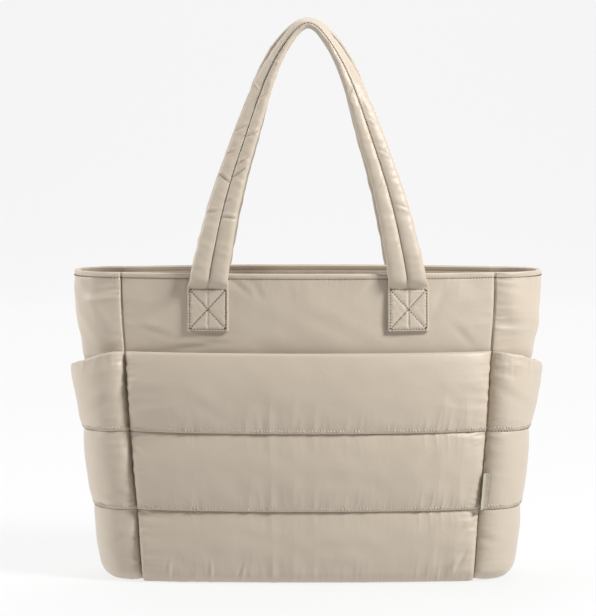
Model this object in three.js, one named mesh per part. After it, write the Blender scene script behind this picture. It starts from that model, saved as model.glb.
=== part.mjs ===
// A puffer tote bag of quilted nylon. A soft box, wide at the rim and narrower at the floor, carries a
// quilted pocket across its front, an open quilted pocket on each end, and two padded handles sewn on by
// flat ends. Millimetres, +Z up. The front faces -Y, and the origin is the middle of the base, on the
// floor.
import * as THREE from "three";

// Main body
const BAG_HEIGHT = 296; // floor to rim
const PANEL_WIDTH = 358; // front and back panels, seam to seam at the rim
const BAG_DEPTH = 130; // front to back, where the body is deepest
const SIDE_REACH = 47; // how far a side panel stands out past the panel seams
const BASE_RADIUS = 14; // round of the bottom edge
const PANEL_WALL = 3; // lightly padded cloth
const BASE_THICKNESS = 4; // stiffened base
const FACING_HEIGHT = 36; // band turned in round the inside of the rim
const FACING_WALL = 1.5;
const SEAM_GAP = 0.3; // kept between sewn pieces

// Quilting
const MOUTH_HEIGHT = 221; // top edge of the pockets at the panel seams
const UPPER_QUILT_HEIGHT = 145;
const LOWER_QUILT_HEIGHT = 70;
const STITCHED_THICKNESS = 2.5; // padding pressed flat by a row of stitches
const LIP_THICKNESS = 4.5; // turned and topstitched pocket edge
const BACK_PUFF = 6; // how far the quilted part of the back swells out

// Pockets
const POCKET_EDGE_ANGLE = 38; // degrees up the round of the bottom edge, where pockets are sewn in
const FLOOR_GAP = 0.4; // padding hangs this far off the floor
const FRONT_POCKET_SPACE = 9;
const FRONT_POCKET_PADDING = 11;
const SIDE_POCKET_SPACE = 10.5;
const SIDE_POCKET_PADDING = 5.5;
const SIDE_MOUTH_DIP = 17; // how far a side pocket's edge sags between its seams
const SIDE_MOUTH_RUFFLE = 1.3; // gathers along that edge
const SIDE_MOUTH_RUFFLES = 3.5;
const MOUTH_CLOSING = 0.12; // share by which a pocket narrows at its mouth

// Handles
const HANDLE_WIDTH = 36;
const HANDLE_THICKNESS = 8.6;
const HANDLE_SEAM_THICKNESS = 3.4; // along the stitched middle line
const ANCHOR_SPACING = 190; // middle to middle of a handle's two flat ends
const ANCHOR_WIDTH = 39;
const ANCHOR_LENGTH = 42;
const ANCHOR_THICKNESS = 3.4;
const ANCHOR_BELOW_RIM = 13;
const HANDLE_RISE = 237; // rim to the middle of the strap at its highest
const HANDLE_STAND_OFF = 4; // strap to panel at the rim
const HANDLES_APART = 41.5; // between the stitched middles of the two straps at the top

// Tag in the right front seam
const TAG_BOTTOM = 70;
const TAG_HEIGHT = 35;
const TAG_WIDTH = 8;
const TAG_THICKNESS = 1;

const NYLON = { color: 0xc4b7a4, roughness: 0.5, metalness: 0 };
const TAPE = { color: 0xa69d8c, roughness: 0.8, metalness: 0 };

// The body's horizontal sections, floor to rim. height is a share of BAG_HEIGHT, panel of half PANEL_WIDTH
// and reach of SIDE_REACH. middle and seam are how far the panel stands from the bag's middle at its
// centre and at its seams, as shares of half BAG_DEPTH. square is the exponent of the side panel's curve,
// 2 for an ellipse.
const SECTIONS = [
  { height: 0.0, panel: 0.885, reach: 0.76, middle: 0.95, seam: 0.83, square: 2.6 },
  { height: 0.07, panel: 0.894, reach: 0.77, middle: 0.955, seam: 0.83, square: 2.6 },
  { height: 0.24, panel: 0.913, reach: 0.777, middle: 0.985, seam: 0.815, square: 2.5 },
  { height: 0.49, panel: 0.95, reach: 0.745, middle: 1.0, seam: 0.77, square: 2.3 },
  { height: 0.7, panel: 0.972, reach: 0.9, middle: 0.98, seam: 0.69, square: 2.1 },
  { height: 0.875, panel: 0.994, reach: 1.0, middle: 0.925, seam: 0.615, square: 2.0 },
  { height: 1.0, panel: 1.0, reach: 1.0, middle: 0.862, seam: 0.554, square: 2.0 },
];

// A handle's middle line from the top of a flat end to the peak. rise is a share of the height from there
// to the peak, spread of half ANCHOR_SPACING and lean of the way back to the peak's depth. fold is how
// far, in degrees, each half of the strap is bent back about its stitched middle, and plump is its share
// of the full thickness.
const FRONT_HANDLE = [
  { rise: 0.02, spread: 0.992, lean: 0.0, fold: 0, plump: 0.82 },
  { rise: 0.06, spread: 0.98, lean: 0.0, fold: 8, plump: 1.0 },
  { rise: 0.15, spread: 0.935, lean: 0.04, fold: 20, plump: 1.0 },
  { rise: 0.29, spread: 0.855, lean: 0.2, fold: 32, plump: 0.98 },
  { rise: 0.43, spread: 0.752, lean: 0.38, fold: 42, plump: 0.94 },
  { rise: 0.57, spread: 0.63, lean: 0.55, fold: 48, plump: 0.9 },
  { rise: 0.69, spread: 0.522, lean: 0.7, fold: 55, plump: 0.86 },
  { rise: 0.8, spread: 0.408, lean: 0.82, fold: 64, plump: 0.8 },
  { rise: 0.885, spread: 0.293, lean: 0.91, fold: 72, plump: 0.74 },
  { rise: 0.945, spread: 0.187, lean: 0.97, fold: 76, plump: 0.7 },
  { rise: 0.985, spread: 0.095, lean: 1.0, fold: 77, plump: 0.68 },
  { rise: 1.0, spread: 0.0, lean: 1.0, fold: 78, plump: 0.68 },
];
const BACK_HANDLE = [
  { rise: 0.02, spread: 0.992, lean: 0.0, fold: 0, plump: 0.82 },
  { rise: 0.06, spread: 0.98, lean: 0.0, fold: 8, plump: 1.0 },
  { rise: 0.15, spread: 0.93, lean: 0.04, fold: 20, plump: 1.0 },
  { rise: 0.29, spread: 0.84, lean: 0.2, fold: 32, plump: 0.98 },
  { rise: 0.43, spread: 0.735, lean: 0.38, fold: 42, plump: 0.94 },
  { rise: 0.57, spread: 0.618, lean: 0.55, fold: 48, plump: 0.9 },
  { rise: 0.69, spread: 0.52, lean: 0.7, fold: 55, plump: 0.86 },
  { rise: 0.8, spread: 0.43, lean: 0.82, fold: 64, plump: 0.8 },
  { rise: 0.885, spread: 0.333, lean: 0.91, fold: 72, plump: 0.74 },
  { rise: 0.945, spread: 0.222, lean: 0.97, fold: 76, plump: 0.7 },
  { rise: 0.985, spread: 0.107, lean: 1.0, fold: 77, plump: 0.68 },
  { rise: 1.0, spread: 0.0, lean: 1.0, fold: 78, plump: 0.68 },
];

// Half of the strap's flat section, from its stitched middle to its edge: across is a share of half the
// width, and lobe runs from 0 at the stitched thickness to 1 at the full thickness.
const STRAP_SECTION = [
  { across: 0.0, lobe: 0.0 },
  { across: 0.14, lobe: 0.62 },
  { across: 0.5, lobe: 1.0 },
  { across: 0.84, lobe: 0.72 },
  { across: 1.0, lobe: -0.3 },
];

// Where grids are divided from seam to seam, finer where the cloth turns
const PANEL_DIVISIONS = [0, 0.12, 0.25, 0.38, 0.5, 0.62, 0.75, 0.88, 1];
const QUILTED_DIVISIONS = [0, 0.012, 0.04, 0.12, 0.25, 0.38, 0.5, 0.62, 0.75, 0.88, 0.96, 0.988, 1];
const SIDE_DIVISIONS = [0, 0.05, 0.13, 0.24, 0.37, 0.5, 0.63, 0.76, 0.87, 0.95, 1];
const EDGE_CHANNEL_DIVISIONS = [0, 0.03, 0.09, 0.18, 0.42, 0.7, 0.93]; // the first part is on the round edge
const CHANNEL_DIVISIONS = [0, 0.07, 0.25, 0.5, 0.75, 0.93];
const STRAP_STEPS = 2; // rings between two rows of a handle's table
const ROW_SPACING = 1; // least distance between two rows of the tag

const QUARTER_TURN = Math.PI / 2;
const cornerLength = BASE_RADIUS * QUARTER_TURN; // cloth on the round of the bottom edge
// From the edge of the base to the pockets' seam
const edgeClimb = BASE_RADIUS * THREE.MathUtils.degToRad(POCKET_EDGE_ANGLE);
// Where each piece of the body starts along the loop of a section, one unit from seam to seam
const START = { front: 0, right: 1, back: 2, left: 3 };

const mix = (from, to, share) => from + (to - from) * share;

// The value of a table's column where its first column reaches a given share: a smooth curve through the
// rows.
function columnAt(rows, key, column, share) {
  const last = rows.length - 1;
  const after = rows.findIndex((row) => row[key] > share);
  const i = after < 0 ? last - 1 : Math.max(after - 1, 0);
  const slope = (a, b) => (rows[b][column] - rows[a][column]) / (rows[b][key] - rows[a][key]);
  const span = rows[i + 1][key] - rows[i][key];
  const t = (share - rows[i][key]) / span;
  const slopeIn = slope(Math.max(i - 1, 0), i + 1) * span;
  const slopeOut = slope(i, Math.min(i + 2, last)) * span;
  const t2 = t * t;
  const t3 = t2 * t;
  return (
    rows[i][column] * (2 * t3 - 3 * t2 + 1) +
    slopeIn * (t3 - 2 * t2 + t) +
    rows[i + 1][column] * (3 * t2 - 2 * t3) +
    slopeOut * (t3 - t2)
  );
}

// The body's half sizes at a height above the floor.
function sectionAt(height) {
  const share = THREE.MathUtils.clamp(height / BAG_HEIGHT, 0, 1);
  const read = (column) => columnAt(SECTIONS, "height", column, share);
  return {
    panel: (read("panel") * PANEL_WIDTH) / 2,
    reach: read("reach") * SIDE_REACH,
    middle: (read("middle") * BAG_DEPTH) / 2,
    seam: (read("seam") * BAG_DEPTH) / 2,
    square: read("square"),
  };
}

// A point of the body's horizontal outline. along is 0 to 1 on the front panel from left to right, 1 to 2
// on the right side panel, 2 to 3 on the back panel and 3 to 4 on the left side panel.
function outlinePoint(along, height) {
  const section = sectionAt(height);
  const place = (along + 4) % 4;
  const local = place % 2; // the back half is the front half turned round the bag's middle
  let x;
  let y;
  if (local <= 1) {
    const across = 2 * local - 1;
    x = across * section.panel;
    y = -mix(section.middle, section.seam, across * across);
  } else {
    const angle = (2 * (local - 1) - 1) * QUARTER_TURN;
    x = section.panel + section.reach * Math.abs(Math.cos(angle)) ** (2 / section.square);
    y = section.seam * Math.sign(angle) * Math.abs(Math.sin(angle)) ** (2 / section.square);
  }
  return place >= START.back ? new THREE.Vector2(-x, -y) : new THREE.Vector2(x, y);
}

// The outline's outward direction, shared by both pieces where it is asked for on a seam.
function outlineNormal(along, height) {
  const step = 0.004;
  const here = outlinePoint(along, height);
  const ahead = outlinePoint(along + step, height).sub(here).normalize();
  const behind = here.clone().sub(outlinePoint(along - step, height)).normalize();
  const tangent = ahead.add(behind).normalize();
  return new THREE.Vector2(tangent.y, -tangent.x);
}

// A point of the body's outer surface. climb is measured along the cloth from the edge of the base: first
// round the bottom edge, a quarter circle, and then straight up.
function bodyPoint(along, climb) {
  const angle = Math.min(climb / BASE_RADIUS, QUARTER_TURN);
  const height = BASE_RADIUS * (1 - Math.cos(angle)) + Math.max(climb - cornerLength, 0);
  const inset = BASE_RADIUS * (1 - Math.sin(angle));
  const wall = outlinePoint(along, height).addScaledVector(outlineNormal(along, height), -inset);
  return new THREE.Vector3(wall.x, wall.y, height);
}

// The outward direction of the body's outer surface.
function bodyNormal(along, climb) {
  const step = 0.004;
  const reach = 0.5;
  const here = bodyPoint(along, climb);
  const ahead = bodyPoint(along + step, climb).sub(here).normalize();
  const behind = here.clone().sub(bodyPoint(along - step, climb)).normalize();
  const upward = bodyPoint(along, climb + reach).sub(bodyPoint(along, Math.max(climb - reach, 0)));
  return ahead.add(behind).cross(upward).normalize();
}

// The climb of a height above the round of the bottom edge.
const climbTo = (height) => height - BASE_RADIUS + cornerLength;

// A point that stands off the body's surface, kept off the floor.
function offBody(along, climb, distance, lowest = 0) {
  const point = bodyPoint(along, climb).addScaledVector(bodyNormal(along, climb), distance);
  point.z = Math.max(point.z, lowest);
  return point;
}

// A closed mesh from two grids of points of the same size, the outer one counter-clockwise from outside.
function closedSheet(outer, inner) {
  const rows = outer.length;
  const columns = outer[0].length;
  const positions = [...outer.flat(), ...inner.flat()].flatMap((point) => point.toArray());
  const out = (row, column) => row * columns + column;
  const into = (row, column) => rows * columns + out(row, column);
  const faces = [];
  const quad = (a, b, c, d) => faces.push(a, b, c, a, c, d);
  for (let row = 0; row < rows - 1; row += 1) {
    for (let column = 0; column < columns - 1; column += 1) {
      quad(out(row, column), out(row, column + 1), out(row + 1, column + 1), out(row + 1, column));
      quad(into(row, column), into(row + 1, column), into(row + 1, column + 1), into(row, column + 1));
    }
    quad(out(row, 0), out(row + 1, 0), into(row + 1, 0), into(row, 0));
    quad(out(row + 1, columns - 1), out(row, columns - 1), into(row, columns - 1), into(row + 1, columns - 1));
  }
  for (let column = 0; column < columns - 1; column += 1) {
    quad(out(0, column + 1), out(0, column), into(0, column), into(0, column + 1));
    quad(out(rows - 1, column), out(rows - 1, column + 1), into(rows - 1, column + 1), into(rows - 1, column));
  }
  return geometryOf(positions, faces);
}

// A closed mesh from rings of points, each counter-clockwise as seen from the far end, with fans over both
// ends.
function closedTube(rings) {
  const count = rings[0].length;
  const middleOf = (ring) =>
    ring.reduce((sum, point) => sum.add(point), new THREE.Vector3()).divideScalar(count);
  const points = [...rings.flat(), middleOf(rings[0]), middleOf(rings[rings.length - 1])];
  const start = rings.length * count;
  const faces = [];
  for (let side = 0; side < count; side += 1) {
    const next = (side + 1) % count;
    for (let ring = 0; ring < rings.length - 1; ring += 1) {
      const low = ring * count;
      const high = low + count;
      faces.push(low + side, low + next, high + next, low + side, high + next, high + side);
    }
    const top = start - count;
    faces.push(start, next, side, start + 1, top + side, top + next);
  }
  return geometryOf(points.flatMap((point) => point.toArray()), faces);
}

function geometryOf(positions, faces) {
  const geometry = new THREE.BufferGeometry();
  geometry.setAttribute("position", new THREE.Float32BufferAttribute(positions, 3));
  geometry.setIndex(faces);
  geometry.computeVertexNormals();
  return geometry;
}

// Places along a piece of the body, trimmed so that neighbours keep the seam gap.
function placesAlong(start, divisions, climb) {
  const length = bodyPoint(start, climb).distanceTo(bodyPoint(start + 0.5, climb)) * 2;
  const trim = SEAM_GAP / 2 / length;
  return divisions.map((share) => start + mix(trim, 1 - trim, share));
}

// A cloth piece that follows the body from seam to seam. climbs gives its rows, and outerAt and innerAt
// say how far its two faces stand off the body at a share across and a row.
function clothPiece(start, divisions, rows, outerAt, innerAt, lowest = 0) {
  const grid = (distanceAt) =>
    rows.map((row) => {
      const places = placesAlong(start, divisions, row.climb(0.5));
      return places.map((along, i) => {
        const share = divisions[i];
        return offBody(along, row.climb(share), distanceAt(share, row), lowest);
      });
    });
  return closedSheet(grid(outerAt), grid(innerAt));
}

// How full a stitched channel is at a share of its height: a half ellipse from one row of stitches to the
// next.
const channelFullness = (share) => Math.sin(Math.PI * share) ** 0.55;

// How full padding is at a share of the way across, held down at both seams.
const acrossFullness = (share, roundness) => Math.sqrt(1 - Math.abs(2 * share - 1) ** roundness);

// Three quilted channels: the seam in the bottom edge, two rows of stitches and the pockets' top edge,
// whose height may change across. rowAt gives a row by its channel and its share of it. A row knows its
// channel's fullness and its share of the whole climb.
function quilting(topHeightAt) {
  const stitches = [
    () => edgeClimb,
    () => climbTo(LOWER_QUILT_HEIGHT),
    () => climbTo(UPPER_QUILT_HEIGHT),
    (across) => climbTo(topHeightAt(across)),
  ];
  const rowAt = (channel, share) => ({
    climb: (across) => mix(stitches[channel](across), stitches[channel + 1](across), share),
    fullness: channelFullness(share),
    up: (channel + share) / 3,
  });
  const rows = [
    ...EDGE_CHANNEL_DIVISIONS.map((share) => rowAt(0, share)),
    ...CHANNEL_DIVISIONS.map((share) => rowAt(1, share)),
    ...CHANNEL_DIVISIONS.map((share) => rowAt(2, share)),
    rowAt(2, 1),
  ];
  return { stitches, rowAt, rows };
}

// The front and back panels and the two side panels: walls of even thickness, the quilted one swollen by
// puff.
function wallPiece(start, divisions, puff) {
  const plainRow = (climb) => ({ climb: () => climb, fullness: 0 });
  const belowPockets = [0, edgeClimb / 2].map(plainRow);
  const abovePockets = [climbTo(mix(MOUTH_HEIGHT, BAG_HEIGHT, 0.5)), climbTo(BAG_HEIGHT)].map(plainRow);
  const rows = [...belowPockets, ...quilting(() => MOUTH_HEIGHT).rows, ...abovePockets];
  const outerAt = (across, row) => puff * row.fullness * acrossFullness(across, 8);
  return clothPiece(start, divisions, rows, outerAt, () => -PANEL_WALL);
}

// The stiffened base, flat on the floor inside the lower edges of the walls.
function basePanel() {
  const loop = [START.front, START.right, START.back, START.left].flatMap((start) => {
    const divisions = start % 2 === 0 ? PANEL_DIVISIONS : SIDE_DIVISIONS;
    return divisions.slice(0, -1).map((share) => start + share);
  });
  const ring = (height) =>
    loop.map((along) => {
      const edge = bodyPoint(along, 0);
      const outward = outlineNormal(along, 0);
      return new THREE.Vector3(edge.x - outward.x * SEAM_GAP, edge.y - outward.y * SEAM_GAP, height);
    });
  return closedTube([ring(0), ring(BASE_THICKNESS)]);
}

// The facing, a closed band inside the rim.
function mouthFacing() {
  const loop = [START.front, START.right, START.back, START.left].flatMap((start) => {
    const divisions = start % 2 === 0 ? PANEL_DIVISIONS : SIDE_DIVISIONS;
    return divisions.slice(0, -1).map((share) => start + share);
  });
  const ring = (height, depth) => loop.map((along) => offBody(along, climbTo(height), -depth));
  const outerDepth = PANEL_WALL + SEAM_GAP;
  const innerDepth = outerDepth + FACING_WALL;
  const top = BAG_HEIGHT;
  const bottom = BAG_HEIGHT - FACING_HEIGHT;
  return closedBand([
    ring(bottom, outerDepth), ring(top, outerDepth), ring(top, innerDepth), ring(bottom, innerDepth),
  ]);
}

// A closed mesh from four rings, joined each to the next and the last to the first.
function closedBand(rings) {
  const count = rings[0].length;
  const faces = [];
  for (let ring = 0; ring < rings.length; ring += 1) {
    const low = ring * count;
    const high = ((ring + 1) % rings.length) * count;
    for (let side = 0; side < count; side += 1) {
      const next = (side + 1) % count;
      faces.push(low + side, low + next, high + next, low + side, high + next, high + side);
    }
  }
  return geometryOf(rings.flat().flatMap((point) => point.toArray()), faces);
}

// How wide a pocket's space is at a share of its height and across: nothing at the seams, full above the
// middle, and a little narrower at the mouth.
function pocketSpace(space, across, up) {
  const rise = Math.sin(QUARTER_TURN * Math.min(up / 0.85, 1)) ** 1.3;
  const closing = 1 - MOUTH_CLOSING * THREE.MathUtils.smoothstep(up, 0.8, 1);
  return SEAM_GAP + space * rise * closing * (1 - Math.abs(2 * across - 1) ** 8);
}

// How thick a pocket's padding is: pressed flat by the stitches and seams, full between them.
function pocketPadding(padding, across, row) {
  const edge = row.up >= 1 ? LIP_THICKNESS : STITCHED_THICKNESS;
  const fullness = row.fullness * acrossFullness(across, 10);
  return mix(Math.min(edge, mix(STITCHED_THICKNESS, edge, acrossFullness(across, 10))), padding, fullness);
}

function frontPocket() {
  const { rows } = quilting(() => MOUTH_HEIGHT);
  const innerAt = (across, row) => pocketSpace(FRONT_POCKET_SPACE, across, row.up);
  const outerAt = (across, row) => innerAt(across, row) + pocketPadding(FRONT_POCKET_PADDING, across, row);
  return clothPiece(START.front, QUILTED_DIVISIONS, rows, outerAt, innerAt, FLOOR_GAP);
}

// A side pocket's mouth sags between its seams and is gathered into a few ruffles.
function sideMouthHeight(across) {
  const hang = Math.sin(Math.PI * across);
  const ruffle = Math.sin(2 * Math.PI * SIDE_MOUTH_RUFFLES * across) * SIDE_MOUTH_RUFFLE * hang;
  return MOUTH_HEIGHT - SIDE_MOUTH_DIP * hang + ruffle;
}

const sidePocketInner = (across, row) => pocketSpace(SIDE_POCKET_SPACE, across, row.up);
const sidePocketOuter = (across, row) =>
  sidePocketInner(across, row) + pocketPadding(SIDE_POCKET_PADDING, across, row);

function sidePocket(start) {
  const { rows } = quilting(sideMouthHeight);
  return clothPiece(start, SIDE_DIVISIONS, rows, sidePocketOuter, sidePocketInner, FLOOR_GAP);
}

// A small flat tag caught in the right front seam, lying on the side pocket's padding.
function seamTag() {
  const { stitches, rowAt, rows: pocketRows } = quilting(sideMouthHeight);
  const endRow = (climb) => {
    const channel = stitches.findLastIndex((stitch, i) => i < 3 && stitch(0) <= climb);
    return rowAt(channel, (climb - stitches[channel](0)) / (stitches[channel + 1](0) - stitches[channel](0)));
  };
  const [low, high] = [climbTo(TAG_BOTTOM), climbTo(TAG_BOTTOM + TAG_HEIGHT)];
  const between = pocketRows.filter(
    (row) => row.climb(0) > low + ROW_SPACING && row.climb(0) < high - ROW_SPACING);
  const rows = [endRow(low), ...between, endRow(high)];
  const seamPoint = bodyPoint(START.right, rows[0].climb(0));
  const girth = seamPoint.distanceTo(bodyPoint(START.right + 0.5, rows[0].climb(0))) * 2;
  const width = TAG_WIDTH / girth;
  const divisions = [SEAM_GAP / girth, width / 2, width];
  const lift = (extra) => (across, row) => sidePocketOuter(across, row) + SEAM_GAP + extra;
  const grid = (distanceAt) =>
    rows.map((row) => divisions.map(
      (share) => offBody(START.right + share, row.climb(share), distanceAt(share, row))));
  return closedSheet(grid(lift(TAG_THICKNESS)), grid(lift(0)));
}

// A ring of the strap's section where it is sewn flat to a panel, on the front or the back of the bag.
function anchorRing(side, end, height) {
  const section = sectionAt(height);
  const start = side < 0 ? START.front : START.back;
  const point = (across, distance) => {
    const x = (end * ANCHOR_SPACING) / 2 - (side * across * ANCHOR_WIDTH) / 2;
    const along = start + 0.5 - (side * x) / (2 * section.panel);
    return offBody(along, climbTo(height), distance);
  };
  return strapRing((across) => [
    point(across, SEAM_GAP + ANCHOR_THICKNESS),
    point(across, SEAM_GAP),
  ]);
}

// The points round a strap's section. facesAt gives the front and back points at a share across, -1 to 1.
function strapRing(facesAt) {
  const half = STRAP_SECTION.map((row) => row.across);
  const shares = [...half.slice(1).reverse().map((share) => -share), ...half];
  const pairs = shares.map(facesAt);
  return [...pairs.map(([face]) => face), ...pairs.map(([, back]) => back).reverse()];
}

// A ring of the free strap: two padded halves either side of the stitched middle, both bent back by fold.
function freeRing(middle, tangent, face, fold, plump) {
  const outward = face.clone().addScaledVector(tangent, -face.dot(tangent)).normalize();
  const width = new THREE.Vector3().crossVectors(tangent, outward);
  const crease = HANDLE_SEAM_THICKNESS / 2;
  const full = (HANDLE_THICKNESS * plump) / 2;
  const angle = THREE.MathUtils.degToRad(fold);
  const place = (across, depth) => {
    const side = Math.sign(across);
    const bend = side === 0 ? 0 : angle;
    const reach = (Math.abs(across) * HANDLE_WIDTH) / 2;
    const sideways = Math.max(reach * Math.cos(bend) + depth * Math.sin(bend), side === 0 ? 0 : SEAM_GAP);
    const forward = depth * Math.cos(bend) - reach * Math.sin(bend);
    return middle.clone().addScaledVector(width, side * sideways).addScaledVector(outward, forward);
  };
  return strapRing((across) => {
    const lobe = STRAP_SECTION.find((row) => row.across === Math.abs(across)).lobe;
    const depth = mix(crease, full, lobe);
    return [place(across, depth), place(across, -depth)];
  });
}

// A whole handle, from one flat end over the peak to the other. side is -1 for the front and 1 for the back.
function handle(side, table) {
  const anchorTop = BAG_HEIGHT - ANCHOR_BELOW_RIM;
  const anchorBottom = anchorTop - ANCHOR_LENGTH;
  const peak = BAG_HEIGHT + HANDLE_RISE;
  const rootAlong = START.front + 0.5 - ANCHOR_SPACING / 2 / PANEL_WIDTH;
  const panelDepth = Math.abs(outlinePoint(rootAlong, BAG_HEIGHT).y);
  const rootDepth = panelDepth + HANDLE_STAND_OFF + HANDLE_THICKNESS / 2;
  const legPoint = (row, end) =>
    new THREE.Vector3(
      (end * row.spread * ANCHOR_SPACING) / 2,
      side * mix(rootDepth, HANDLES_APART / 2, row.lean),
      mix(anchorTop, peak, row.rise),
    );
  const rows = [...table, ...table.slice(0, -1).reverse()];
  const points = rows.map((row, i) => legPoint(row, i < table.length ? side : -side));
  const curve = new THREE.CatmullRomCurve3(points, false, "centripetal");
  const face = new THREE.Vector3(0, side, 0);
  const free = [];
  for (let i = 0; i < rows.length - 1; i += 1) {
    for (let step = 0; step < STRAP_STEPS || (i === rows.length - 2 && step === STRAP_STEPS); step += 1) {
      const share = step / STRAP_STEPS;
      const at = (i + share) / (rows.length - 1);
      const fold = mix(rows[i].fold, rows[i + 1].fold, share);
      const plump = mix(rows[i].plump, rows[i + 1].plump, share);
      free.push(freeRing(curve.getPoint(at), curve.getTangent(at), face, fold, plump));
    }
  }
  const heights = [anchorBottom, mix(anchorBottom, anchorTop, 0.5), anchorTop];
  const first = heights.map((height) => anchorRing(side, side, height));
  const last = heights.map(
    (height) => anchorRing(side, -side, height).map((_, i, ring) => ring[mirrored(i, ring)]));
  return closedTube([...first, ...free, ...last.reverse()]);
}

// The matching place on a ring of the strap when it is looked at from its other end.
function mirrored(i, ring) {
  const half = ring.length / 2;
  return i < half ? half - 1 - i : ring.length - 1 - (i - half);
}

function nylonPiece(name, geometry) {
  const mesh = new THREE.Mesh(geometry, new THREE.MeshStandardMaterial(NYLON));
  mesh.name = name;
  return mesh;
}

const bag = new THREE.Group();
bag.add(nylonPiece("front_panel", wallPiece(START.front, PANEL_DIVISIONS, 0)));
bag.add(nylonPiece("back_panel", wallPiece(START.back, QUILTED_DIVISIONS, BACK_PUFF)));
bag.add(nylonPiece("side_panel_right", wallPiece(START.right, SIDE_DIVISIONS, 0)));
bag.add(nylonPiece("side_panel_left", wallPiece(START.left, SIDE_DIVISIONS, 0)));
bag.add(nylonPiece("base_panel", basePanel()));
bag.add(nylonPiece("mouth_facing", mouthFacing()));
bag.add(nylonPiece("front_pocket", frontPocket()));
bag.add(nylonPiece("side_pocket_right", sidePocket(START.right)));
bag.add(nylonPiece("side_pocket_left", sidePocket(START.left)));
bag.add(nylonPiece("handle_front", handle(-1, FRONT_HANDLE)));
bag.add(nylonPiece("handle_back", handle(1, BACK_HANDLE)));
const tag = new THREE.Mesh(seamTag(), new THREE.MeshStandardMaterial(TAPE));
tag.name = "seam_tag";
bag.add(tag);

export default bag;
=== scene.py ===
"""A puffer tote bag of quilted satin nylon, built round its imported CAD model.

Lengths are worked out in millimetres and put into the meshes in metres. The front of the bag faces -Y, and
the origin is the middle of its base, on the floor.
"""

import bpy
import numpy as np
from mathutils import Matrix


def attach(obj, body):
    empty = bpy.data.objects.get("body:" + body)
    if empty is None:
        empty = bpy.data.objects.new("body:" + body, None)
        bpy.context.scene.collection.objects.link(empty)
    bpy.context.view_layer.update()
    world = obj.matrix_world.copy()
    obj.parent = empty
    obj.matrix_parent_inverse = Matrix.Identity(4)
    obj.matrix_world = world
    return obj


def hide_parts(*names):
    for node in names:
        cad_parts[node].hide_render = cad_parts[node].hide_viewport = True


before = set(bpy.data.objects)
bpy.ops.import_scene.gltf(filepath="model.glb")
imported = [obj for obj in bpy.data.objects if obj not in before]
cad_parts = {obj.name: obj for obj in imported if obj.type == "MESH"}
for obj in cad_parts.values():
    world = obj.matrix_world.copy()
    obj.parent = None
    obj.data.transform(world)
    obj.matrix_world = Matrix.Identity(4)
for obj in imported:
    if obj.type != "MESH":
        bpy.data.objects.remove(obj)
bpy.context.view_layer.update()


# Front panel. One piece of lightly padded satin nylon from the base to the rim, plain above the pocket that
# is sewn over it. Its top edge is turned in and held by a row of stitches 5 mm below the fold, and its sides
# are seamed to the end panels, which draws small puckers into both.

BAG_HEIGHT = 296
MOUTH = 221  # height of the pockets' top edge
PANEL_HALF = 179  # half the front panel's width at the rim
DEPTH_HALF = 65
SIDE_REACH = 47  # how far an end stands out past the seams
BASE_RADIUS = 14
WALL = 3
HEM = 5  # rim to its row of stitches
SEAM_TRIM = 0.2  # a piece's edge to the seam line
SEAM_GAP = 0.3  # between the faces of two pieces that are sewn together
LOOP_STEP = 0.004  # step along the loop that gives its direction
INNER_ROWS = 14  # rows of a wall's plain inner face
QUARTER_TURN = np.pi / 2
CORNER_LENGTH = BASE_RADIUS * QUARTER_TURN
FRONT, RIGHT, BACK, LEFT = 0, 1, 2, 3  # where each panel starts along the loop of a section

# The body's horizontal sections: height, half the panel's width, the end's reach, how far the panel stands
# from the bag's middle at its centre and at its seams, all as shares, and the exponent of the end's curve
SECTIONS = np.array([
    (0.000, 0.885, 0.760, 0.950, 0.830, 2.6),
    (0.070, 0.894, 0.770, 0.955, 0.830, 2.6),
    (0.240, 0.913, 0.777, 0.985, 0.815, 2.5),
    (0.490, 0.950, 0.745, 1.000, 0.770, 2.3),
    (0.700, 0.972, 0.900, 0.980, 0.690, 2.1),
    (0.875, 0.994, 1.000, 0.925, 0.615, 2.0),
    (1.000, 1.000, 1.000, 0.862, 0.554, 2.0),
])


def column(rows, number, key):
    """Reads a column of a table where its first column equals key: a cubic from row to row, whose slope at a
    row is that of the line between its two neighbours."""
    keys, values = rows[:, 0], rows[:, number]
    slopes = np.gradient(values, keys, edge_order=1)
    slopes[1:-1] = (values[2:] - values[:-2]) / (keys[2:] - keys[:-2])
    low = np.clip(np.searchsorted(keys, key, side="right") - 1, 0, len(keys) - 2)
    span = keys[low + 1] - keys[low]
    t = (key - keys[low]) / span
    start = values[low] * (2 * t**3 - 3 * t**2 + 1) + slopes[low] * span * (t**3 - 2 * t**2 + t)
    return start + values[low + 1] * (3 * t**2 - 2 * t**3) + slopes[low + 1] * span * (t**3 - t**2)


def outline(along, height):
    """The bag's horizontal outline at a height. A panel is a parabola across its width, and an end is the
    curve |x / reach|^n + |y / depth|^n = 1. along runs 0 to 4, a panel or an end to each unit, from the left
    front seam."""
    share = np.clip(height / BAG_HEIGHT, 0, 1)
    panel, reach, middle, seam = (
        column(SECTIONS, number, share) * size
        for number, size in ((1, PANEL_HALF), (2, SIDE_REACH), (3, DEPTH_HALF), (4, DEPTH_HALF))
    )
    power = 2 / column(SECTIONS, 5, share)
    local = np.mod(along, 2)
    across = 2 * local - 1
    angle = (2 * local - 3) * QUARTER_TURN
    on_panel = local <= 1
    x = np.where(on_panel, across * panel, panel + reach * np.abs(np.cos(angle)) ** power)
    y = np.where(on_panel, -(middle + (seam - middle) * across**2),
                 seam * np.sign(angle) * np.abs(np.sin(angle)) ** power)
    turn = np.where(np.mod(along, 4) >= BACK, -1, 1)
    return np.stack([turn * x, turn * y], axis=-1)


def unit(vectors):
    return vectors / np.linalg.norm(vectors, axis=-1, keepdims=True)


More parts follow.
